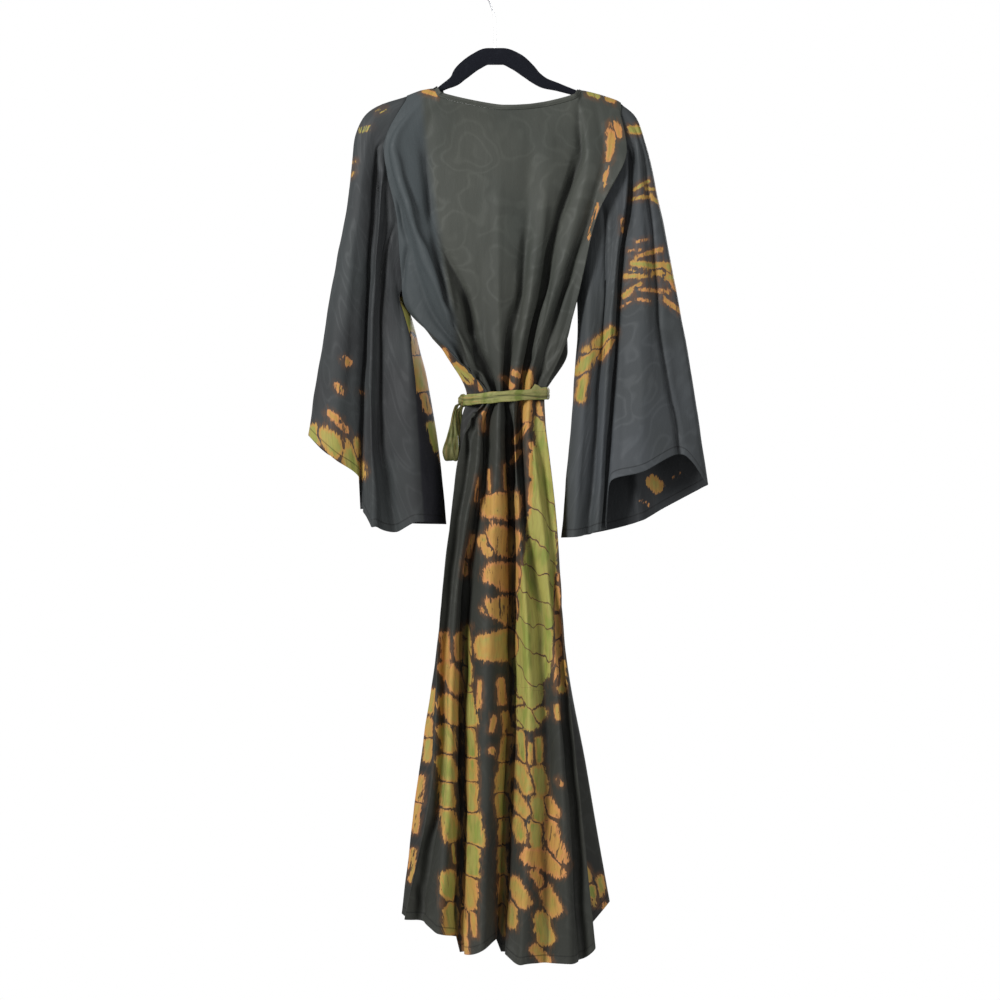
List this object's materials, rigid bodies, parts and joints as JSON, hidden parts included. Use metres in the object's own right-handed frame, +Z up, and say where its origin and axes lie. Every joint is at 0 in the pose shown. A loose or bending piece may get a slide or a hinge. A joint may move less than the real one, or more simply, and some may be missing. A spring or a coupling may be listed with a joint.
{
  "type": "wrap dress on a hanger",
  "caption": "Long wrap dress with wide bell sleeves, gathered at the waist by a tie belt, hanging flat from a slim hanger with a wire hook",
  "frame": {"origin": "inside top of the hanger's hook, where it hangs on a rail", "axes": "+Z up, -Y to the back of the garment, which the picture shows, +X to the wearer's right"},
  "size_m": [0.6616, 0.196, 1.6162],
  "materials": {
    "dyed_silk": "soft matte silk with a faint sheen, charcoal with olive and ochre dye",
    "belt_silk": "soft matte silk, mottled olive green",
    "flock": "black flocking, fully matte",
    "wire": "polished plated wire"
  },
  "bodies": {
    "root": {"back": "dyed_silk", "front_left": "dyed_silk", "front_right": "dyed_silk", "sleeve_left": "dyed_silk", "sleeve_right": "dyed_silk", "neck_band": "dyed_silk", "front_band_left": "dyed_silk", "front_band_right": "dyed_silk", "belt": "belt_silk", "belt_knot": "belt_silk", "belt_loop_left": "belt_silk", "belt_loop_right": "belt_silk", "belt_tail_left": "belt_silk", "belt_tail_right": "belt_silk", "hanger_body": "flock", "hanger_hook": "wire"}
  },
  "joints": []
}
